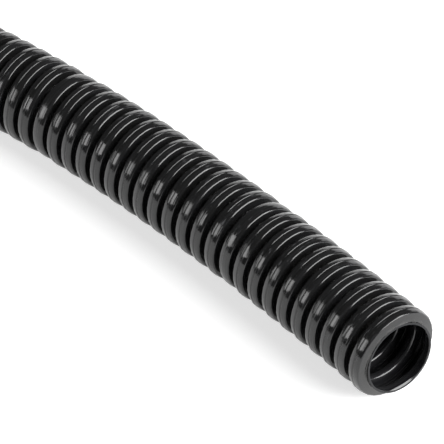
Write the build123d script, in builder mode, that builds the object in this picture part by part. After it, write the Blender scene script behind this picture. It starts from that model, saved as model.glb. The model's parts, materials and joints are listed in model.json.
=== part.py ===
"""Corrugated electrical conduit: one moulded length of ribbed tube with a gentle bend."""
from build123d import *
from math import asin, ceil, cos, degrees, radians, sin, sqrt
import os

# Section of the tube, in millimetres
outside_diameter = 25.0
bore_diameter = 18.5
wall = 0.55

# Ribs: a broad crown with a fine groove round its middle, steep flanks and a short valley floor
pitch = 5.55
rib_count = 90
crown_radius = 4.7
shoulder_width = 3.6
flank_lean = 9.0
groove_width = 0.52
groove_depth = 0.22

# Where two mould blocks meet, every thirteenth rib is plain and a little lower
block_ribs = 13
first_joint_rib = 9
joint_rib_drop = 0.2

# Bend of the axis, gentle for some way from the open end and tighter towards the straight length
open_end_bend_radius = 885.0
tight_bend_radius = 395.0
gentle_length = 59.0
bend_length = 160.0

# The open end is cut by hand just past its last rib. It is out of square: longest a little behind
# the underside, by an angle seen from the open end.
open_end_length = 3.4
open_end_skew = 6.9
open_end_longest_at = 23.0

# Worked out from the sizes above
crest_r = outside_diameter / 2
bore_r = bore_diameter / 2
valley_r = bore_r + wall
straight_rib = min(ceil(bend_length / pitch), rib_count - 1)


def smooth(share):
    """Rise from 0 to 1 with level ends."""
    share = min(max(share, 0.0), 1.0)
    return share * share * (3 - 2 * share)


def turn(valley):
    """Angle between the two ribs that meet at a valley, in radians. Valley 0 is at the open end."""
    if not 0 < valley <= straight_rib:
        return 0.0
    gentle = 1 / open_end_bend_radius
    tight = 1 / tight_bend_radius
    rise = smooth((valley * pitch - gentle_length) / (bend_length - gentle_length))
    return (gentle + (tight - gentle) * rise) * pitch


def heading(rib):
    """Direction of a rib's axis, in radians, which turns clockwise towards the open end."""
    return -sum(turn(valley) for valley in range(rib + 1, straight_rib + 1))


def level(angle):
    return Vector(cos(angle), sin(angle), 0)


def valley_points():
    """Middle of each valley on the axis. Point 0 is at the open end, the last at the far end."""
    points = [Vector(0, 0, crest_r)]
    for rib in reversed(range(rib_count)):
        points.append(points[-1] + level(heading(rib)) * pitch)
    return points[::-1]


def knife_plane():
    """Plane of the hand cut, facing out of the open end."""
    along = level(heading(0))
    skew, behind = radians(open_end_skew), radians(open_end_longest_at)
    shortest = Vector(0, 0, cos(behind)) + level(heading(0) - radians(90)) * sin(behind)
    last_rib_middle = (valleys[0] + valleys[1]) * 0.5
    return Plane(last_rib_middle + along * open_end_length, z_dir=along * cos(skew) + shortest * sin(skew))


def cut_plane(valley):
    """Plane in the middle of a valley, halfway between the directions of its two ribs."""
    return Plane(valleys[valley], z_dir=level(heading(valley - 1) + turn(valley) / 2))


def is_joint_rib(rib):
    return (rib - first_joint_rib) % block_ribs == 0


def rib_half(rib, depth):
    """Crown's centre and radius at a depth into the wall, then the foot and the shoulder of the flank."""
    lean = radians(flank_lean)
    centre = crest_r - (joint_rib_drop if is_joint_rib(rib) else 0.0) - crown_radius
    shoulder_x = shoulder_width / 2
    shoulder_y = sqrt(crown_radius**2 - shoulder_x**2)
    flank = shoulder_x * cos(lean) + shoulder_y * sin(lean) - depth
    radius = crown_radius - depth
    turned = asin(flank / radius) - lean
    foot = ((flank - (valley_r - depth - centre) * sin(lean)) / cos(lean), valley_r - depth)
    return centre, radius, foot, (radius * sin(turned), centre + radius * cos(turned))


def crown_arc(middle, centre, radius, start, end):
    """Part of a crown's arc, between two places measured from the rib's middle."""
    places = (start, (start + end) / 2, end)
    ThreePointArc(*[(middle + x, centre + sqrt(radius**2 - x**2)) for x in places])


def wave(ribs, depth, ends):
    """One side of the tube wall over a row of ribs, along the axis in X and away from it in Y."""
    last = (ends[0], valley_r - depth)
    for place, rib in enumerate(ribs):
        middle = (place + 0.5) * pitch
        centre, radius, (foot_x, floor), (reach, shoulder) = rib_half(rib, depth)
        Line(last, (middle - foot_x, floor))
        Line((middle - foot_x, floor), (middle - reach, shoulder))
        if depth or is_joint_rib(rib):
            crown_arc(middle, centre, radius, -reach, reach)
        else:
            lip_x = groove_width / 2
            lip = centre + sqrt(radius**2 - lip_x**2)
            bottom = (middle, centre + radius - groove_depth)
            crown_arc(middle, centre, radius, -reach, -lip_x)
            Line((middle - lip_x, lip), bottom)
            Line(bottom, (middle + lip_x, lip))
            crown_arc(middle, centre, radius, lip_x, reach)
        last = (middle + foot_x, floor)
        Line((middle + reach, shoulder), last)
    Line(last, (ends[1], valley_r - depth))


def tube_run(far_valley, near_valley):
    """Tube wall over the ribs in line between two valleys, cut to meet its neighbours."""
    start = valleys[far_valley]
    ribs = list(reversed(range(near_valley, far_valley)))
    along = level(heading(near_valley))
    overrun = pitch / 2
    far_end_cut = far_valley < rib_count
    ends = (-overrun if far_end_cut else 0.0, len(ribs) * pitch + overrun)
    with BuildPart() as run:
        with BuildSketch(Plane(origin=start, x_dir=along, z_dir=along.cross(Vector(0, 0, 1)))):
            with BuildLine():
                wave(ribs, 0.0, ends)
                wave(ribs, wall, ends)
                for end in ends:
                    Line((end, bore_r), (end, valley_r))
            make_face()
        revolve(axis=Axis(start, along))
        split(bisect_by=cut_plane(near_valley) if near_valley else knife_plane(), keep=Keep.BOTTOM)
        if far_end_cut:
            split(bisect_by=cut_plane(far_valley), keep=Keep.TOP)
    return run.part


valleys = valley_points()
runs = [tube_run(rib_count, straight_rib)]
runs += [tube_run(rib + 1, rib) for rib in reversed(range(straight_rib))]

with BuildPart() as conduit:
    add(runs)

box = conduit.part.bounding_box()
shift = Vector(-box.center().X, -box.center().Y, -box.min.Z)
conduit.part.position += shift

conduit.part.label = "conduit"
os.makedirs("parts", exist_ok=True)
export_step(conduit.part, "parts/conduit.step")
print("size", box.size, "volume", conduit.part.volume, "solids", len(conduit.part.solids()))
print("ribs in line", rib_count - straight_rib, "turn in degrees", degrees(-heading(0)))
print("far end", valleys[rib_count] + shift, "last valley", valleys[0] + shift)
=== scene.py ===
# %% [markdown]
# # A length of black corrugated conduit
#
# Corrugated conduit is a thin plastic tube moulded into rings, so that it bends by hand and guards the
# wires inside it. This lesson dresses one cut length of it: a ribbed wall, one end cut by hand, and a
# glossy black plastic that shows how light runs along the rings.
#
# The first cell loads the fixed frame.

# %% Load the frame
import json
import math

import bpy
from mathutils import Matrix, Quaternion, Vector


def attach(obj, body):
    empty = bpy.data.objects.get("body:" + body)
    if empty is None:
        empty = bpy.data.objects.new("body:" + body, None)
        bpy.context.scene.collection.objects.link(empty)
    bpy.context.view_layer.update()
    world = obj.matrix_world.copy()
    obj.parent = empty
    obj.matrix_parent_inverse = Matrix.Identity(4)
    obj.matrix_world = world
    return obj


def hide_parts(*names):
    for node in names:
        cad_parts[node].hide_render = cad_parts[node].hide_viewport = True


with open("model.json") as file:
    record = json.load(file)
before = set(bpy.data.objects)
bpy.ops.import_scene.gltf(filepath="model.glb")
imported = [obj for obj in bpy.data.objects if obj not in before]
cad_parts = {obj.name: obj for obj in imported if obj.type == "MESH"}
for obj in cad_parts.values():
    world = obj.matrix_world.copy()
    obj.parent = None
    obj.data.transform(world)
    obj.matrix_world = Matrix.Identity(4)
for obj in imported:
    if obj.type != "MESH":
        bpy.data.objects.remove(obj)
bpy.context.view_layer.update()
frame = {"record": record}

# %% [markdown]
# ## The sizes of the tube
#
# All lengths of the tube are in millimetres, and MM turns them into Blender's metres. The stage round it
# is measured in metres. The tube is known by its outside diameter over the rings. Its wall is one thin
# skin that swings in and out, so the floor of a valley lies just one wall outside the bore.

# %% Sizes in millimetres
MM = 0.001
OUTSIDE_DIAMETER = 25.0
BORE_DIAMETER = 18.5
WALL = 0.55
PITCH = 5.55
RIB_COUNT = 90

CREST_R = OUTSIDE_DIAMETER / 2
BORE_R = BORE_DIAMETER / 2
VALLEY_R = BORE_R + WALL
print("a rib is", round(CREST_R - VALLEY_R, 2), "mm high at", PITCH, "mm pitch")

# %% [markdown]
# ## The bend of the tube
#
# A tube that was once coiled keeps some of its bend. Here it is straight at the far end, bends most just
# after that, and relaxes towards the open end. A deform modifier could bend a straight tube, but it would
# squash the ribs as well. Here each rib keeps its own straight axis, and the small turn to the next rib
# happens in the valley between them, which is also how the real tube bends.

# %% Bend of the axis
OPEN_END_BEND_RADIUS = 885.0
TIGHT_BEND_RADIUS = 395.0
GENTLE_LENGTH = 59.0
BEND_LENGTH = 160.0
STRAIGHT_RIB = math.ceil(BEND_LENGTH / PITCH)


def smooth(share):
    """Rise from 0 to 1 with level ends."""
    share = min(max(share, 0.0), 1.0)
    return share * share * (3 - 2 * share)


def turn(valley):
    """Angle between the two ribs that meet at a valley. Valley 0 is at the open end."""
    if not 0 < valley <= STRAIGHT_RIB:
        return 0.0
    gentle = 1 / OPEN_END_BEND_RADIUS
    tight = 1 / TIGHT_BEND_RADIUS
    rise = smooth((valley * PITCH - GENTLE_LENGTH) / (BEND_LENGTH - GENTLE_LENGTH))
    return (gentle + (tight - gentle) * rise) * PITCH


print("from rib", STRAIGHT_RIB, "on the tube is straight")

# %% [markdown]
# ## The line of the axis
#
# The frame holds a mount in the middle of the bore at the far end. The axis starts there and takes one
# step of a rib's length at a time, each in that rib's own direction, until it comes to the open end.

# %% Points of the axis
def heading(rib):
    """Direction of a rib's axis as an angle, which turns clockwise towards the open end."""
    return -sum(turn(valley) for valley in range(rib + 1, STRAIGHT_RIB + 1))


def along(rib):
    """Direction of a rib's axis as an arrow towards the open end."""
    return Vector((math.cos(heading(rib)), math.sin(heading(rib)), 0))


def valley_points(far_end):
    """Middle of each valley on the axis, from the open end to the far end."""
    points = [far_end]
    for rib in reversed(range(RIB_COUNT)):
        points.append(points[-1] + along(rib) * PITCH)
    return points[::-1]


mounts = {mount["name"]: mount for mount in frame["record"]["mounts"]}
valleys = valley_points(Vector(mounts["far_bore"]["pos_m"]) / MM)
print("the axis turns", round(math.degrees(-heading(0)), 1), "degrees towards the open end")

# %% [markdown]
# ## The section of one rib
#
# The rings could be drawn on a smooth cylinder with a bump texture, but they stand almost three
# millimetres proud and cut the outline, so they are real geometry. A ring is a broad crown, an arc that
# drops by steep flanks to a short valley floor. A mould leaves no sharp edge, so the shoulder and the
# foot of the flank get a small rounding: a circle that touches both of the lines that it joins.
#
# A section is drawn with x along the tube and y away from its axis. The next cell finds the few measures
# that fix it, at any depth into the wall.

# %% Measures of a rib
CROWN_RADIUS = 4.7
SHOULDER_X = 1.8
FLANK_LEAN = math.radians(9.0)
SHOULDER_ROUND = 0.55
FOOT_ROUND = 0.25
FLANK_FACING = Vector((math.cos(FLANK_LEAN), math.sin(FLANK_LEAN)))


def rib_measures(depth, top, rounding, foot_rounding):
    """A crown's centre and radius, the lean of its shoulder, and the centre of its foot's rounding."""
    crown_y = top - CROWN_RADIUS
    centre = Vector((0, crown_y))
    radius = CROWN_RADIUS - depth
    shoulder_y = crown_y + math.sqrt(CROWN_RADIUS**2 - SHOULDER_X**2)
    on_flank = Vector((SHOULDER_X, shoulder_y)) - FLANK_FACING * depth
    reach = ((on_flank - centre).dot(FLANK_FACING) - rounding) / (radius - rounding)
    foot_y = VALLEY_R - depth + foot_rounding
    across = foot_rounding - (foot_y - on_flank.y) * math.sin(FLANK_LEAN)
    foot_x = on_flank.x + across / math.cos(FLANK_LEAN)
    return centre, radius, math.asin(reach) - FLANK_LEAN, Vector((foot_x, foot_y))


measures = rib_measures(0, CREST_R, SHOULDER_ROUND, FOOT_ROUND)
print("the shoulder leans", round(math.degrees(measures[2]), 1), "degrees")

# %% [markdown]
# ## The crown and its groove
#
# A fine groove runs round the middle of each crown. It is only two tenths of a millimetre deep, but it
# carries a thin arc of light, so it is drawn as well: its bottom, its side and its lip.
#
# Each point is kept with the direction that the surface faces there. Exact directions matter more than
# many points, because a glossy surface shows light by its direction.

# %% Crown and groove
GROOVE_WIDTH = 0.52
GROOVE_DEPTH = 0.22
OUTWARD = Vector((0, 1))


def crown_point(centre, radius, lean):
    """A point of an arc and the way that it faces, at an angle from straight up."""
    facing = Vector((math.sin(lean), math.cos(lean)))
    return centre + facing * radius, facing


def crown_with_groove(centre, radius, shoulder_lean, groove_depth):
    """Bottom and side of the groove, its lip, and a point halfway to the shoulder."""
    lip_lean = math.asin(GROOVE_WIDTH / 2 / radius)
    side_slope = groove_depth * math.pi / GROOVE_WIDTH
    middle, _ = crown_point(centre, radius, 0)
    side, _ = crown_point(centre, radius, lip_lean / 2)
    return [
        (middle - OUTWARD * groove_depth, OUTWARD),
        (side - OUTWARD * (groove_depth / 2), Vector((-side_slope, 1)).normalized()),
        crown_point(centre, radius, lip_lean),
        crown_point(centre, radius, (lip_lean + shoulder_lean) / 2),
    ]


print("the groove is", GROOVE_WIDTH, "mm wide and", GROOVE_DEPTH, "mm deep")

# %% [markdown]
# ## The outside of a rib
#
# Half a rib is enough, a list of points from the middle of the crown down to the valley floor. The other
# half is its mirror image. Where two mould blocks met, every thirteenth ring has no groove and stands a
# little lower.

# %% Outside of a rib
BLOCK_RIBS = 13
FIRST_JOINT_RIB = 9
JOINT_RIB_DROP = 0.2


def outer_half(top, groove_depth):
    """Half of a rib's outside, with its groove and with rounded shoulder and foot."""
    centre, radius, shoulder_lean, foot = rib_measures(0, top, SHOULDER_ROUND, FOOT_ROUND)
    shoulder, shoulder_facing = crown_point(centre, radius, shoulder_lean)
    rounding_centre, _ = crown_point(centre, radius - SHOULDER_ROUND, shoulder_lean)
    turning = (shoulder_facing + FLANK_FACING).normalized()
    return crown_with_groove(centre, radius, shoulder_lean, groove_depth) + [
        (shoulder, shoulder_facing),
        (rounding_centre + turning * SHOULDER_ROUND, turning),
        (rounding_centre + FLANK_FACING * SHOULDER_ROUND, FLANK_FACING),
        (foot - FLANK_FACING * FOOT_ROUND, FLANK_FACING),
        (Vector((foot.x, VALLEY_R)), OUTWARD),
    ]


def whole_rib(half):
    """A whole rib from half of it, from its far side to its side towards the open end."""
    mirrored = [(Vector((-p.x, p.y)), Vector((-f.x, f.y))) for p, f in reversed(half)]
    return mirrored + half[1:]


def is_joint_rib(rib):
    """Whether a rib stands where two mould blocks met."""
    return (rib - FIRST_JOINT_RIB) % BLOCK_RIBS == 0


def outer_rib(rib):
    """The outside of one rib of the tube."""
    if is_joint_rib(rib):
        return whole_rib(outer_half(CREST_R - JOINT_RIB_DROP, groove_depth=0))
    return whole_rib(outer_half(CREST_R, GROOVE_DEPTH))


print("an outer rib has", len(outer_rib(0)), "rings")

# %% [markdown]
# ## The inside of a rib
#
# The inside is the same wave, one wall further in. Seen from the bore, its shoulder is a hidden corner
# and stays sharp, as two rings that lie close together and face different ways. Its foot bulges into the
# bore, so it gets one more point on its rounding.
#
# Nobody can look deep into the tube. Past the first ribs at each end, an inner rib keeps only its
# corners, which saves about 25,000 triangles.

# %% Inside of a rib
LEAST_EDGE = 0.03
SEEN_INSIDE = 8


def inner_half(top):
    """Half of a rib's inside, with a sharp shoulder and a rounded foot."""
    rounding = FOOT_ROUND + WALL
    centre, radius, shoulder_lean, foot = rib_measures(WALL, top, 0, rounding)
    shoulder, shoulder_facing = crown_point(centre, radius, shoulder_lean)
    down_flank = Vector((math.sin(FLANK_LEAN), -math.cos(FLANK_LEAN)))
    halfway = (FLANK_FACING + OUTWARD).normalized()
    return [
        crown_point(centre, radius, 0),
        (shoulder, shoulder_facing),
        (shoulder + down_flank * LEAST_EDGE, FLANK_FACING),
        (foot - FLANK_FACING * rounding, FLANK_FACING),
        (foot - halfway * rounding, halfway),
        (Vector((foot.x, BORE_R)), OUTWARD),
    ]


def inner_rib(rib):
    """The inside of one rib of the tube."""
    half = inner_half(CREST_R - JOINT_RIB_DROP if is_joint_rib(rib) else CREST_R)
    if min(rib, RIB_COUNT - 1 - rib) >= SEEN_INSIDE:
        middle, shoulder, _, flank_foot, _, floor = half
        half = [middle, shoulder, flank_foot, floor]
    return whole_rib(half)


print("its inside has", len(inner_rib(0)), "rings, and", len(inner_rib(SEEN_INSIDE)), "deep in the tube")

# %% [markdown]
# ## Columns round the tube
#
# The rings are joined by columns that run along the tube. They are evenly spaced, except at the two
# parting lines. A mould has two halves, and where they meet, a hair of plastic stands out as a low ridge.
# Five close columns make each ridge: flat, sloping, top, sloping, flat.

# %% Columns round the tube
EVEN_COLUMNS = 34
SEAM_WIDTH = 0.3
SEAM_HEIGHT = 0.05
SEAM_TILT = math.radians(28)
SEAM_ANGLES = [math.radians(118), math.radians(298)]


def seam_columns(seam):
    """The five columns of a parting line."""
    quarter = SEAM_WIDTH / 4 / CREST_R
    for step in range(-2, 3):
        on_slope = abs(step) == 1
        yield seam + step * quarter, 1 - abs(step) / 2, SEAM_TILT * step if on_slope else 0


def column_list():
    """Angles from the top of the tube, each with its share of the ridge's height and its tilt."""
    columns = [column for seam in SEAM_ANGLES for column in seam_columns(seam)]
    half_step = math.pi / EVEN_COLUMNS
    for step in range(EVEN_COLUMNS):
        angle = 2 * math.pi * step / EVEN_COLUMNS
        if all(abs(angle - seam) > half_step for seam in SEAM_ANGLES):
            columns.append((angle, 0, 0))
    return sorted(columns)


columns = column_list()
print(len(columns), "columns")

# %% [markdown]
# ## Rings on the axis
#
# Every ring is placed on its own rib's axis, so the bend comes from the ribs' places. The same goes for
# the way that a ring faces. A point is given by its rib, by x from the rib's middle towards the open end,
# by its radius, and by its angle from the top.

# %% Rings on the axis
def frame_of(rib):
    """Middle of a rib on the axis, the way towards the open end, and the sideways direction."""
    forward = along(rib)
    return (valleys[rib] + valleys[rib + 1]) / 2, forward, forward.cross(Vector((0, 0, 1)))


def bent_place(rib, x, radius, angle):
    """A point of the bent tube."""
    middle, forward, sideways = frame_of(rib)
    to_the_side = sideways * (radius * math.sin(angle))
    upwards = Vector((0, 0, radius * math.cos(angle)))
    return middle + forward * x + to_the_side + upwards


def bent_facing(rib, facing, angle, tilt):
    """The way that a point of the section faces on the bent tube."""
    _, forward, sideways = frame_of(rib)
    around = angle + tilt
    outward = sideways * math.sin(around) + Vector((0, 0, math.cos(around)))
    return (forward * facing.x + outward * facing.y).normalized()


print("the top of the last rib is at", bent_place(0, 0, CREST_R, 0))

# %% [markdown]
# ## The cut by hand
#
# A saw in a mitre box would cut square. A knife wanders, and here the cut leans, so that the tube is
# shortest near the top and longest near the underside. Each column stops where it meets that slanting
# plane. A cutter with a boolean could do the same, but it would leave ragged triangles at the rim.
#
# The same limit is put on every rib. Away from the cut it only moves the floor's first ring at the foot
# of the flank, on the upper side, by about 0.2 millimetres at most.

# %% Plane of the knife
OPEN_END_LENGTH = 3.4
OPEN_END_SKEW = math.radians(6.9)
OPEN_END_SHORTEST_AT = math.radians(23.0)


def knife_x(radius, angle):
    """Where a column meets the slanting cut, from the middle of the last rib."""
    across = radius * math.cos(angle - OPEN_END_SHORTEST_AT)
    return OPEN_END_LENGTH - across * math.tan(OPEN_END_SKEW)


def behind_knife(point):
    """A point of the section, or a place just behind the slanting plane where that comes first."""
    return lambda angle: (min(point.x, knife_x(point.y, angle) - LEAST_EDGE), point.y)


shortest = knife_x(CREST_R, OPEN_END_SHORTEST_AT)
longest = knife_x(CREST_R, OPEN_END_SHORTEST_AT + math.pi)
print("the cut lies", round(shortest, 2), "to", round(longest, 2), "mm past the last rib's middle")

# %% [markdown]
# ## A sheet of rings
#
# A sheet gathers rings and knows how to join them with quads. Each of its points also keeps the place
# that it would have if the tube were straight. The finishes read it, so that streaks run round the rings
# and dust knows how deep in a valley it lies, whatever the bend.

# %% Sheet of rings
class Sheet:
    """One side of the wall: rings of points, the way each faces, and its place on a straight tube."""

    def __init__(self, inside):
        self.inside = inside
        self.points = []
        self.facings = []
        self.places = []

    def ring(self, rib, spot, facing):
        """Adds a ring. At each angle, spot gives its x and radius."""
        for angle, height, tilt in columns:
            if self.inside:
                height = tilt = 0
            x, radius = spot(angle)
            self.points.append(bent_place(rib, x, radius + height * SEAM_HEIGHT, angle) * MM)
            outward = bent_facing(rib, facing, angle, tilt)
            self.facings.append(-outward if self.inside else outward)
            from_open_end = (rib + 0.5) * PITCH - x
            self.places.append((from_open_end, radius * math.sin(angle), radius * math.cos(angle)))

    def faces(self, start):
        """Quads between neighbouring rings, wound so that they face out of the plastic."""
        count = len(columns)
        quads = []
        for low in range(start, start + len(self.points) - count, count):
            high = low + count
            for column in range(count):
                beside = (column + 1) % count
                quad = [low + column, low + beside, high + beside, high + column]
                quads.append(quad[::-1] if self.inside else quad)
        return quads


print("a ring has", len(columns), "points")

# %% [markdown]
# ## The wall as two sheets
#
# The outer and the inner side of the wall are built the same way, ring after ring from the far end, which
# is a square cut in the middle of a valley, to the last rib.

# %% Both sides of the wall
def wall_sheet(section, floor_r, inside):
    """The rings of one side of the wall, from the far end to the last rib."""
    sheet = Sheet(inside)
    sheet.ring(RIB_COUNT - 1, lambda angle: (-PITCH / 2, floor_r), OUTWARD)
    for rib in reversed(range(RIB_COUNT)):
        for point, facing in section(rib):
            sheet.ring(rib, behind_knife(point), facing)
    return sheet


outer = wall_sheet(outer_rib, VALLEY_R, inside=False)
inner = wall_sheet(inner_rib, BORE_R, inside=True)
print(len(outer.points), "points outside and", len(inner.points), "inside")

# %% [markdown]
# ## The edges of the cut
#
# The outer edge of the cut is sharp. The inner one has a hair of a slope all round, and near the
# underside, where the knife came out, the plastic tore: the slope gets wide and deep there, and a thin
# lip is left standing between it and the plane of the cut.

# %% Edges of the cut
EDGE_BREAK = 0.05
TORN_DEPTH = 0.32
TORN_LIP = 0.22
TORN_AT = math.radians(186)
TORN_HALF_WIDTH = math.radians(28)
TORN_FADE = TORN_HALF_WIDTH * 2 / 3


def tear(angle):
    """Depth of the slope at the inner edge, and the width of the lip past it."""
    share = smooth((TORN_HALF_WIDTH - abs(angle - TORN_AT)) / TORN_FADE)
    return EDGE_BREAK + TORN_DEPTH * share, EDGE_BREAK + TORN_LIP * share


def bore_end(angle):
    """Where the bore stops and the slope starts."""
    depth, lip = tear(angle)
    return knife_x(BORE_R, angle) - lip - depth, BORE_R


def slope_end(angle):
    """Where the slope stops, one lip short of the cut."""
    depth, lip = tear(angle)
    return knife_x(BORE_R + depth, angle) - lip, BORE_R + depth


def lip_end(angle):
    """Where the lip meets the plane of the cut."""
    depth, _ = tear(angle)
    return knife_x(BORE_R + depth, angle), BORE_R + depth


print("the torn slope is", round(tear(TORN_AT)[0], 2), "mm deep")

# %% [markdown]
# ## The last rings
#
# These rings close both sheets at the plane of the cut. Where the inner edge changes direction, two rings
# lie a least edge apart, one for each facing, so that the slope stays crisp and the bore stays smooth.

# %% Last rings at the cut
def set_back(spot, edges):
    """The same spots, a number of least edges further from the cut."""

    def moved(angle):
        x, radius = spot(angle)
        return x - edges * LEAST_EDGE, radius

    return moved


outer.ring(0, lambda angle: (knife_x(VALLEY_R, angle), VALLEY_R), OUTWARD)
slope_facing = Vector((-1, 1)).normalized()
inner.ring(0, set_back(bore_end, 2), OUTWARD)
inner.ring(0, set_back(bore_end, 1), slope_facing)
inner.ring(0, set_back(slope_end, 1), slope_facing)
inner.ring(0, slope_end, OUTWARD)
inner.ring(0, lip_end, OUTWARD)
print("with the last rings:", len(outer.points), "points outside and", len(inner.points), "inside")

# %% [markdown]
# ## One closed piece
#
# The two sheets are joined by a narrow flat ring at each end, which shows how thin the wall is. The
# result is one closed skin round the plastic, so it also looks right from inside.

# %% Join the sheets
def end_ring(outer_first, inner_first, facing_open):
    """Quads between the two sheets at one end."""
    quads = []
    for column in range(len(columns)):
        beside = (column + 1) % len(columns)
        quad = [outer_first + column, outer_first + beside, inner_first + beside, inner_first + column]
        quads.append(quad if facing_open else quad[::-1])
    return quads


inner_start = len(outer.points)
last_outer = inner_start - len(columns)
last_inner = inner_start + len(inner.points) - len(columns)
walls = outer.faces(0) + inner.faces(inner_start)
ends = end_ring(0, inner_start, facing_open=False) + end_ring(last_outer, last_inner, facing_open=True)

mesh = bpy.data.meshes.new("conduit_wall")
mesh.from_pydata(outer.points + inner.points, [], walls + ends)
mesh.validate()
print("the wall has", len(mesh.vertices), "points and", len(mesh.polygons), "quads")

# %% [markdown]
# ## Smooth and crisp
#
# Blender's smooth shading would average the directions of neighbouring quads and blur the roundings. The
# facings that were worked out with the section are given to the mesh as its own normals instead. The
# rings of the two cut ends keep the facing of the cut, so their edges stay crisp.

# %% Facings and finishes of the quads
OUTER_SLOT, BORE_SLOT, CUT_SLOT = range(3)

facings = outer.facings + inner.facings
normals = []
for polygon in mesh.polygons:
    polygon.use_smooth = True
    if polygon.index >= len(walls):
        polygon.material_index = CUT_SLOT
        normals += [polygon.normal.copy() for _ in polygon.vertices]
    else:
        is_inside = polygon.vertices[0] >= inner_start
        polygon.material_index = BORE_SLOT if is_inside else OUTER_SLOT
        normals += [facings[vertex] for vertex in polygon.vertices]
mesh.normals_split_custom_set(normals)
print(len(normals), "facings")

# %% [markdown]
# ## The piece in the frame
#
# The places on the straight tube go into the mesh as an attribute, where the finishes find them. The
# piece then rides on the frame's root and takes the place of the plain solid.

# %% The conduit
STRAIGHT_PLACE = "straight_place"

places = outer.places + inner.places
straight = mesh.attributes.new(STRAIGHT_PLACE, "FLOAT_VECTOR", "POINT")
straight.data.foreach_set("vector", [value for place in places for value in place])

conduit = bpy.data.objects.new("conduit_wall", mesh)
bpy.context.scene.collection.objects.link(conduit)
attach(conduit, "root")
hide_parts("conduit")
print("the conduit has", sum(len(polygon.vertices) - 2 for polygon in mesh.polygons), "triangles")

# %% [markdown]
# ## Finishes: helpers for node groups
#
# Moulded plastic is never one flat colour. The wall keeps hair-fine lines from the turned mould blocks,
# handling leaves short scuffs on the crowns, dust settles in the valleys, and the knife leaves scores.
# These effects are node groups, built once. Each has named inputs, for the values that a material sets,
# and named outputs: masks from 0 to 1, or heights in millimetres.
#
# A few helpers come first, so that the groups below read as recipes and not as wiring.

# %% Helpers for groups and sums
def new_group(name, inputs, outputs):
    """A shader node group with named number sockets, what it is given, and what it puts out."""
    group = bpy.data.node_groups.new(name, "ShaderNodeTree")
    for in_out, names in (("INPUT", inputs), ("OUTPUT", outputs)):
        for socket in names:
            group.interface.new_socket(name=socket, in_out=in_out, socket_type="NodeSocketFloat")
    given = group.nodes.new("NodeGroupInput").outputs
    result = group.nodes.new("NodeGroupOutput").inputs
    return group, given, result


def math_node(tree, operation, first, second=0.0, clamp=False):
    """A sum of two values, each a number or the output of another node."""
    node = tree.nodes.new("ShaderNodeMath")
    node.operation = operation
    node.use_clamp = clamp
    for socket, value in zip(node.inputs, (first, second)):
        if isinstance(value, (int, float)):
            socket.default_value = value
        else:
            tree.links.new(value, socket)
    return node.outputs[0]


def multiply(tree, first, *others):
    """The product of two or more values."""
    for other in others:
        first = math_node(tree, "MULTIPLY", first, other)
    return first


def vary(tree, base, *parts):
    """A base value plus each mask times its amount."""
    for mask, amount in parts:
        base = math_node(tree, "ADD", multiply(tree, mask, amount), base)
    return base


print("helpers for groups and sums are ready")

# %% [markdown]
# ## Finishes: helpers for places
#
# Every pattern starts from the place on the straight tube, so it stays on the part from every side. The
# mesh carries that place as an attribute, and an effect reads from it how far along the tube, how high up
# and how far from the axis it is.

# %% Helpers for places
def straight_place(tree):
    """Distance from the open end, then sideways and upwards from the axis, all in millimetres."""
    source = tree.nodes.new("ShaderNodeAttribute")
    source.attribute_name = STRAIGHT_PLACE
    return source.outputs["Vector"]


def split(tree, vector):
    """The three parts of a vector."""
    node = tree.nodes.new("ShaderNodeSeparateXYZ")
    tree.links.new(vector, node.inputs["Vector"])
    return node.outputs["X"], node.outputs["Y"], node.outputs["Z"]


def off_axis(tree, vector):
    """Distance from the tube's axis."""
    _, sideways, up = split(tree, vector)
    squares = [multiply(tree, side, side) for side in (sideways, up)]
    return math_node(tree, "SQRT", math_node(tree, "ADD", *squares))


print("helpers for places are ready")

# %% [markdown]
# ## Finishes: helpers for patterns
#
# Noise gives an uneven pattern, and a soft ramp turns it into a mask. Stretched noise makes streaks: a
# large stretch value makes the cells short in that direction, a small one makes them long.

# %% Helpers for patterns
def noise(tree, vector, stretch, detail=2.0):
    """Soft noise whose cells are about one over each stretch long, in millimetres."""
    mapping = tree.nodes.new("ShaderNodeMapping")
    mapping.inputs["Scale"].default_value = stretch
    tree.links.new(vector, mapping.inputs["Vector"])
    node = tree.nodes.new("ShaderNodeTexNoise")
    node.inputs["Scale"].default_value = 1.0
    node.inputs["Detail"].default_value = detail
    tree.links.new(mapping.outputs["Vector"], node.inputs["Vector"])
    return node.outputs["Fac"]


def ramp(tree, value, low, high):
    """0 at low, 1 at high, and a soft change between them."""
    node = tree.nodes.new("ShaderNodeMapRange")
    node.interpolation_type = "SMOOTHSTEP"
    node.inputs["From Min"].default_value = low
    node.inputs["From Max"].default_value = high
    tree.links.new(value, node.inputs["Value"])
    return node.outputs["Result"]


print("helpers for patterns are ready")

# %% [markdown]
# ### Lines of the mould
#
# A mould block is turned on a lathe, and its tool marks print through as lines that run round the tube.
# They are far finer along the tube than around it, so the noise is stretched around. The height breaks a
# lamp's reflection into fine strands, and the strands also vary in gloss. The skins also paint the strands
# a shade lighter, a painted sheen. Both skins use this group, each with its own depth of the lines.

# %% Lines round the rings
FINE_LINES = (3.2, 0.06, 0.06)
BROAD_LINES = (1.1, 0.05, 0.05)
FINE_SHARE = 0.7
BROAD_SHARE = 0.3
STRAND_EDGES = (0.35, 0.7)


def ring_lines_group():
    """Lines of a depth in millimetres, as a height and as a mask of strands."""
    group, given, result = new_group("ring_lines", ["Depth"], ["Height", "Strands"])
    place = straight_place(group)
    fine = noise(group, place, FINE_LINES, detail=1.0)
    broad = noise(group, place, BROAD_LINES)
    both = math_node(group, "ADD", multiply(group, fine, FINE_SHARE), multiply(group, broad, BROAD_SHARE))
    group.links.new(multiply(group, both, given["Depth"]), result["Height"])
    group.links.new(ramp(group, fine, *STRAND_EDGES), result["Strands"])
    return group


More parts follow.
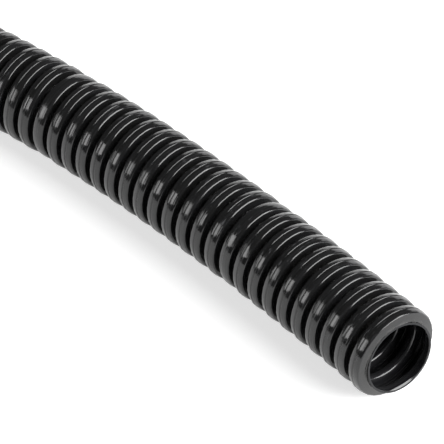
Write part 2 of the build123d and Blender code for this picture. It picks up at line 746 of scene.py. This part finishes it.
ring_lines = ring_lines_group()
print(ring_lines.name, "has", [socket.name for socket in ring_lines.interface.items_tree])

# %% [markdown]
# ### The back of the groove
#
# The groove of each crown shows inside as a low ridge in the middle of the pocket. It is seen only in
# passing, so it is relief in the finish and not in the mesh. The distance along the tube, counted in
# pitches, tells how far a place is from the middle of its rib.

# %% Ridge behind the groove
RIDGE_FOOT = GROOVE_WIDTH / PITCH
RIDGE_TOP = 0.1 * GROOVE_WIDTH / PITCH
POCKET_EDGES = (VALLEY_R, VALLEY_R + 1)


def groove_ridge_group():
    """A ridge of a depth in millimetres, as a height."""
    group, given, result = new_group("groove_ridge", ["Depth"], ["Height"])
    place = straight_place(group)
    along_tube, _, _ = split(group, place)
    phase = math_node(group, "FRACT", math_node(group, "DIVIDE", along_tube, PITCH))
    off_middle = math_node(group, "ABSOLUTE", math_node(group, "SUBTRACT", phase, 0.5))
    ridge = ramp(group, off_middle, RIDGE_FOOT, RIDGE_TOP)
    in_pocket = ramp(group, off_axis(group, place), *POCKET_EDGES)
    group.links.new(multiply(group, ridge, in_pocket, given["Depth"]), result["Height"])
    return group


groove_ridge = groove_ridge_group()
print(groove_ridge.name, "has", [socket.name for socket in groove_ridge.interface.items_tree])

# %% [markdown]
# ### Scuffs
#
# Only what stands proud gets scuffed, so the mask is kept to the outermost few tenths of a millimetre.
# Short scratches run round the tube more than along it, and they come in patches, where the tube once
# rubbed against something.

# %% Scuffs on the crowns
CROWN_EDGES = (CREST_R - 0.5, CREST_R - 0.1)
SCRATCHES = (1.6, 0.35, 0.35)
SCRATCH_EDGES = (0.58, 0.68)
PATCHES = (0.06, 0.07, 0.07)
PATCH_EDGES = (0.42, 0.62)


def crown_scuffs_group():
    """A mask of short scratches on the crowns, times an amount."""
    group, given, result = new_group("crown_scuffs", ["Amount"], ["Scuffs"])
    place = straight_place(group)
    crown = ramp(group, off_axis(group, place), *CROWN_EDGES)
    scratches = ramp(group, noise(group, place, SCRATCHES, detail=3.0), *SCRATCH_EDGES)
    patches = ramp(group, noise(group, place, PATCHES), *PATCH_EDGES)
    group.links.new(multiply(group, scratches, patches, crown, given["Amount"]), result["Scuffs"])
    return group


crown_scuffs = crown_scuffs_group()
print(crown_scuffs.name, "has", [socket.name for socket in crown_scuffs.interface.items_tree])

# %% [markdown]
# ### Dust
#
# Dust is the opposite of scuffs: it lies low between the rings, where no hand wipes it off, and only on
# the upper side of the tube, where it can settle.

# %% Dust in the valleys
DUST_DEPTHS = (VALLEY_R + 1.2, VALLEY_R)
UPPER_SIDE = (-2.0, 8.0)
FLECKS = (0.8, 0.5, 0.5)
FLECK_EDGES = (0.4, 0.75)


def valley_dust_group():
    """A mask of flecks of dust in the valleys, times an amount."""
    group, given, result = new_group("valley_dust", ["Amount"], ["Dust"])
    place = straight_place(group)
    _, _, up = split(group, place)
    depth = ramp(group, off_axis(group, place), *DUST_DEPTHS)
    upper_side = ramp(group, up, *UPPER_SIDE)
    flecks = ramp(group, noise(group, place, FLECKS, detail=4.0), *FLECK_EDGES)
    group.links.new(multiply(group, depth, upper_side, flecks, given["Amount"]), result["Dust"])
    return group


valley_dust = valley_dust_group()
print(valley_dust.name, "has", [socket.name for socket in valley_dust.interface.items_tree])

# %% [markdown]
# ### Scores of the knife
#
# The knife went through the ring from the top to the lowest side, so its scores run that way across the
# thin cut face. Towards the lowest side the cut face is painted paler, and this group gives a mask of that
# side.

# %% Scores and torn side
SCORES = (0.2, 5.0, 1.2)
PALE_SIDE_EDGES = (0.8, 0.95)


def knife_scores_group():
    """Scores of a depth in millimetres, as a height and as a mask, and a mask of the lowest side, painted
    paler.
    """
    group, given, result = new_group("knife_scores", ["Depth"], ["Height", "Scores", "Pale_side"])
    place = straight_place(group)
    _, sideways, up = split(group, place)
    scores = noise(group, place, SCORES, detail=3.0)
    group.links.new(multiply(group, scores, given["Depth"]), result["Height"])
    group.links.new(scores, result["Scores"])
    lowest = OPEN_END_SHORTEST_AT + math.pi
    from_side = multiply(group, sideways, math.sin(lowest) / VALLEY_R)
    from_above = multiply(group, up, math.cos(lowest) / VALLEY_R)
    group.links.new(ramp(group, math_node(group, "ADD", from_side, from_above), *PALE_SIDE_EDGES), result["Pale_side"])
    return group


knife_scores = knife_scores_group()
print(knife_scores.name, "has", [socket.name for socket in knife_scores.interface.items_tree])

# %% [markdown]
# ## Finishes: helpers for materials
#
# A material takes its masks and heights from the groups, placed with its own values. It blends colours
# by the masks, adds to the roughness by them, and turns the heights into relief. What is the same all
# over a surface is set on the shader itself.

# %% Helpers for materials
def new_material(name):
    """A material, its node tree and its shader."""
    material = bpy.data.materials.new(name)
    material.use_nodes = True
    return material, material.node_tree, material.node_tree.nodes["Principled BSDF"]


def use_group(tree, group, **values):
    """Places a group with a material's own values, and gives its outputs."""
    node = tree.nodes.new("ShaderNodeGroup")
    node.node_tree = group
    for name, value in values.items():
        node.inputs[name].default_value = value
    return node.outputs


def mix_colour(tree, mask, low, high):
    """Blends two colours by a mask. Either may be the output of an earlier blend."""
    node = tree.nodes.new("ShaderNodeMix")
    node.data_type = "RGBA"
    tree.links.new(mask, node.inputs["Factor"])
    for name, colour in (("A", low), ("B", high)):
        socket = next(s for s in node.inputs if s.name == name and s.type == "RGBA")
        if isinstance(colour, tuple):
            socket.default_value = (*colour, 1)
        else:
            tree.links.new(colour, socket)
    return next(s for s in node.outputs if s.type == "RGBA")


def bump(tree, shader, height):
    """Turns a height in millimetres into relief of the surface."""
    node = tree.nodes.new("ShaderNodeBump")
    node.inputs["Distance"].default_value = MM
    tree.links.new(height, node.inputs["Height"])
    tree.links.new(node.outputs["Normal"], shader.inputs["Normal"])


print("helpers for materials are ready")

# %% [markdown]
# ### The outer skin
#
# The mould was smooth but for its fine lines, so the outer skin is glossy. The plastic is nearly black.
# Almost all that the eye sees on it is reflection, and so its roughness does more than its colour. Its
# fine lines are also painted a shade lighter, as a painted sheen.

# %% Outer skin
OUTER_BLACK = (0.007, 0.007, 0.007)
# The lines' colour, a shade lighter than the plastic, is a painted sheen.
OUTER_LINE_SHEEN = (0.01, 0.0102, 0.0108)
SCUFFED_BLACK = (0.035, 0.035, 0.037)
DUST_COLOUR = (0.04, 0.039, 0.037)
OUTER_LINE_DEPTH = 0.07
SCUFF_AMOUNT = 1.0
DUST_AMOUNT = 1.0
OUTER_ROUGHNESS = 0.07
STRANDS_ROUGHEN = 0.16
SCUFFS_ROUGHEN = 0.2
DUST_ROUGHENS = 0.35


def outer_skin():
    """Glossy black plastic with the lines of the mould, a painted sheen on them, scuffs and dust."""
    material, tree, shader = new_material("outer_skin")
    lines = use_group(tree, ring_lines, Depth=OUTER_LINE_DEPTH)
    strands = lines["Strands"]
    scuffed = use_group(tree, crown_scuffs, Amount=SCUFF_AMOUNT)["Scuffs"]
    dusty = use_group(tree, valley_dust, Amount=DUST_AMOUNT)["Dust"]
    # The lines are painted a shade lighter: a painted sheen along the strands.
    colour = mix_colour(tree, strands, OUTER_BLACK, OUTER_LINE_SHEEN)
    colour = mix_colour(tree, dusty, colour, DUST_COLOUR)
    colour = mix_colour(tree, scuffed, colour, SCUFFED_BLACK)
    rougher = ((strands, STRANDS_ROUGHEN), (scuffed, SCUFFS_ROUGHEN), (dusty, DUST_ROUGHENS))
    tree.links.new(colour, shader.inputs["Base Color"])
    tree.links.new(vary(tree, OUTER_ROUGHNESS, *rougher), shader.inputs["Roughness"])
    bump(tree, shader, lines["Height"])
    return material


conduit.data.materials.append(outer_skin())
print("materials:", [material.name for material in conduit.data.materials])

# %% [markdown]
# ### The bore
#
# The bore is the same plastic. It touched no mould, so it is a little smoother than the outside, and it
# carries no scuffs and no dust. The ridge behind each groove is added to the height of the lines. Its
# lines, too, are painted a shade lighter, as a painted sheen.

# %% Bore skin
BORE_BLACK = (0.008, 0.008, 0.009)
# The lines' colour in the bore, a shade lighter, is a painted sheen.
BORE_LINE_SHEEN = (0.016, 0.016, 0.017)
BORE_LINE_DEPTH = 0.066
BORE_RIDGE_DEPTH = 2 * GROOVE_DEPTH
BORE_ROUGHNESS = 0.06
BORE_STRANDS_ROUGHEN = 0.12


def bore_skin():
    """The plastic of the bore, with the back of the grooves and a painted sheen on its lines."""
    material, tree, shader = new_material("bore_skin")
    lines = use_group(tree, ring_lines, Depth=BORE_LINE_DEPTH)
    ridge = use_group(tree, groove_ridge, Depth=BORE_RIDGE_DEPTH)
    strands = lines["Strands"]
    # The lines are painted a shade lighter: a painted sheen along the strands.
    colour = mix_colour(tree, strands, BORE_BLACK, BORE_LINE_SHEEN)
    roughness = vary(tree, BORE_ROUGHNESS, (strands, BORE_STRANDS_ROUGHEN))
    tree.links.new(colour, shader.inputs["Base Color"])
    tree.links.new(roughness, shader.inputs["Roughness"])
    bump(tree, shader, math_node(tree, "ADD", ridge["Height"], lines["Height"]))
    return material


conduit.data.materials.append(bore_skin())
print("materials:", [material.name for material in conduit.data.materials])

# %% [markdown]
# ### The cut
#
# The cut face shows the raw plastic. It is matte and scored by the knife. Towards its lowest side it is
# painted paler in uneven patches.

# %% Cut face
CUT_BLACK = (0.012, 0.0125, 0.014)
# The paler colour, painted in patches towards the lowest side of the cut face.
CUT_PALE = (0.075, 0.077, 0.081)
CUT_SPECULAR = 0.3
CUT_ROUGHNESS = 0.4
SCORES_ROUGHEN = 0.25
SCORE_DEPTH = 0.02
PALE_PATCH_EDGES = (0.3, 0.55)


def knife_cut():
    """The raw plastic of the cut face."""
    material, tree, shader = new_material("knife_cut")
    cut = use_group(tree, knife_scores, Depth=SCORE_DEPTH)
    # A mask of patches towards the lowest side, where the cut face is painted paler.
    torn = multiply(tree, cut["Pale_side"], ramp(tree, cut["Scores"], *PALE_PATCH_EDGES))
    roughness = vary(tree, CUT_ROUGHNESS, (cut["Scores"], SCORES_ROUGHEN))
    shader.inputs["Specular IOR Level"].default_value = CUT_SPECULAR
    tree.links.new(mix_colour(tree, torn, CUT_BLACK, CUT_PALE), shader.inputs["Base Color"])
    tree.links.new(roughness, shader.inputs["Roughness"])
    bump(tree, shader, cut["Height"])
    return material


conduit.data.materials.append(knife_cut())
print("materials:", [material.name for material in conduit.data.materials])

# %% [markdown]
# ## The floor
#
# Black plastic shows little of its own colour: what the eye reads is the reflection of lamps and floor,
# so the stage is half of the look. The floor is a plain pale sheet. It is brighter to the camera and to
# reflections than its own colour makes it, which gives the white ground of a catalogue picture and still
# lets the tube's soft shadow fall on it. Apart from those reflections, no extra light lands on the tube.

# %% Floor
FLOOR_SIZE = 6.0
FLOOR_COLOUR = (0.75, 0.75, 0.75, 1)
FLOOR_GLOW = 0.55
FLOOR_ROUGHNESS = 0.9
FLOOR_SPECULAR = 0.1
GLOW_COLOUR = (1, 1, 1, 1)


def floor_material():
    """A matte pale floor that glows for the camera and for reflections only."""
    material, tree, shader = new_material("pale_floor")
    shader.inputs["Base Color"].default_value = FLOOR_COLOUR
    shader.inputs["Roughness"].default_value = FLOOR_ROUGHNESS
    shader.inputs["Specular IOR Level"].default_value = FLOOR_SPECULAR
    shader.inputs["Emission Color"].default_value = GLOW_COLOUR
    ray = tree.nodes.new("ShaderNodeLightPath").outputs
    seen = math_node(tree, "ADD", ray["Is Camera Ray"], ray["Is Glossy Ray"])
    seen = math_node(tree, "ADD", seen, ray["Is Transmission Ray"], clamp=True)
    tree.links.new(multiply(tree, seen, FLOOR_GLOW), shader.inputs["Emission Strength"])
    return material


def build_floor():
    """One large square at the height that the tube lies on."""
    half = FLOOR_SIZE / 2
    corners = [(-half, -half, 0), (half, -half, 0), (half, half, 0), (-half, half, 0)]
    mesh = bpy.data.meshes.new("studio_floor")
    mesh.from_pydata(corners, [], [(0, 1, 2, 3)])
    mesh.materials.append(floor_material())
    floor = bpy.data.objects.new("studio_floor", mesh)
    bpy.context.scene.collection.objects.link(floor)


build_floor()
print("a floor of", FLOOR_SIZE, "m")

# %% [markdown]
# ## The camera
#
# A long lens from about 80 centimetres away keeps the rings nearly parallel. The tube runs from the
# upper left, where the picture cuts it off, to the lower right, where its open end looks past the camera.
# The distances are counted in radii of the tube over its rings, because that is how a photograph without
# a ruler gives them.

# %% Camera
CREST = CREST_R * MM
VIEW_TURN = math.radians(36.935)
VIEW_HEIGHT = math.radians(41.45)
VIEW_DISTANCE = 62.47 * CREST
LAST_RIB_RIGHT_OF_AIM = 3.307 * CREST
LAST_RIB_BEFORE_AIM = 4.938 * CREST
LENS = 240.4
SENSOR_WIDTH = 36
CLIP_START = 0.01


def on_view(right, forward, up=0.0):
    """A step in the camera's own floor directions, turned into the frame's."""
    right_way = Vector((math.cos(VIEW_TURN), math.sin(VIEW_TURN), 0))
    forward_way = Vector((-math.sin(VIEW_TURN), math.cos(VIEW_TURN), 0))
    return right_way * right + forward_way * forward + Vector((0, 0, up))


def build_camera():
    """The camera, and the place on the floor that it is aimed at."""
    rib_middle = (valleys[0] + valleys[1]) / 2 * MM
    below_rib = Vector((rib_middle.x, rib_middle.y, 0))
    aim = below_rib - on_view(LAST_RIB_RIGHT_OF_AIM, -LAST_RIB_BEFORE_AIM)
    back = on_view(0, -math.cos(VIEW_HEIGHT), math.sin(VIEW_HEIGHT)) * VIEW_DISTANCE
    camera = bpy.data.objects.new("camera", bpy.data.cameras.new("camera"))
    camera.location = aim + back
    camera.rotation_euler = (math.pi / 2 - VIEW_HEIGHT, 0, VIEW_TURN)
    camera.data.lens = LENS
    camera.data.sensor_width = SENSOR_WIDTH
    camera.data.clip_start = CLIP_START
    bpy.context.scene.collection.objects.link(camera)
    bpy.context.scene.camera = camera
    return camera, aim


camera, aim = build_camera()
print("camera at", [round(value, 3) for value in camera.location])

# %% [markdown]
# ## The lamps
#
# Each lamp is a rectangle that looks at the place that the camera is aimed at. It is given by its
# direction as the camera sees it, turned from straight ahead and raised from the floor, by how large it
# looks from there, and by its brightness, where 1 is white paper in full light.
#
# One softbox stands at the left and makes the pairs of patches on the crowns. Another stands at the
# right, a little behind the camera, and makes the thin arcs on the shoulders and in the grooves. A low
# panel behind the tube lights its upper outline.

# %% Lamps
LAMP_DISTANCE = 1.6


def from_aim(turned, raised):
    """The direction of a lamp, from two angles in degrees."""
    turned = math.radians(turned)
    raised = math.radians(raised)
    flat = math.cos(raised)
    return on_view(math.sin(turned) * flat, math.cos(turned) * flat, math.sin(raised))


def seen_size(angle):
    """How large a lamp has to be to look a number of degrees wide."""
    return 2 * LAMP_DISTANCE * math.tan(math.radians(angle / 2))


def area_lamp(name, turned, raised, wide, high, brightness, rolled=0):
    """A soft rectangular lamp. All angles are in degrees, and wide and high are how large it looks."""
    spot = aim + from_aim(turned, raised) * LAMP_DISTANCE
    data = bpy.data.lights.new(name, "AREA")
    data.shape = "RECTANGLE"
    data.size = seen_size(wide)
    data.size_y = seen_size(high)
    data.energy = brightness * math.pi * data.size * data.size_y
    lamp = bpy.data.objects.new(name, data)
    lamp.location = spot
    facing = (aim - spot).to_track_quat("-Z", "Y") @ Quaternion((0, 0, 1), math.radians(rolled))
    lamp.rotation_euler = facing.to_euler()
    lamp.visible_camera = False
    bpy.context.scene.collection.objects.link(lamp)


area_lamp("left_softbox", turned=-102, raised=23, wide=36, high=25, brightness=5.5, rolled=22)
area_lamp("right_softbox", turned=111, raised=34, wide=54, high=42, brightness=10)
area_lamp("back_panel", turned=15, raised=8, wide=50, high=18, brightness=1.5)
print("three lamps stand", LAMP_DISTANCE, "m from the camera's aim")

# %% [markdown]
# ## The rest of the studio
#
# Round the lamps the studio is a dark grey, so the valleys stay black. The picture is shown without any
# film look, so that a colour comes out about as it is written.

# %% World and view
WORLD_GREY = (0.1, 0.1, 0.1, 1)

world = bpy.data.worlds.new("studio")
world.use_nodes = True
world.node_tree.nodes["Background"].inputs["Color"].default_value = WORLD_GREY
bpy.context.scene.world = world
bpy.context.scene.view_settings.view_transform = "Standard"
print("the world is", WORLD_GREY[0], "of white")
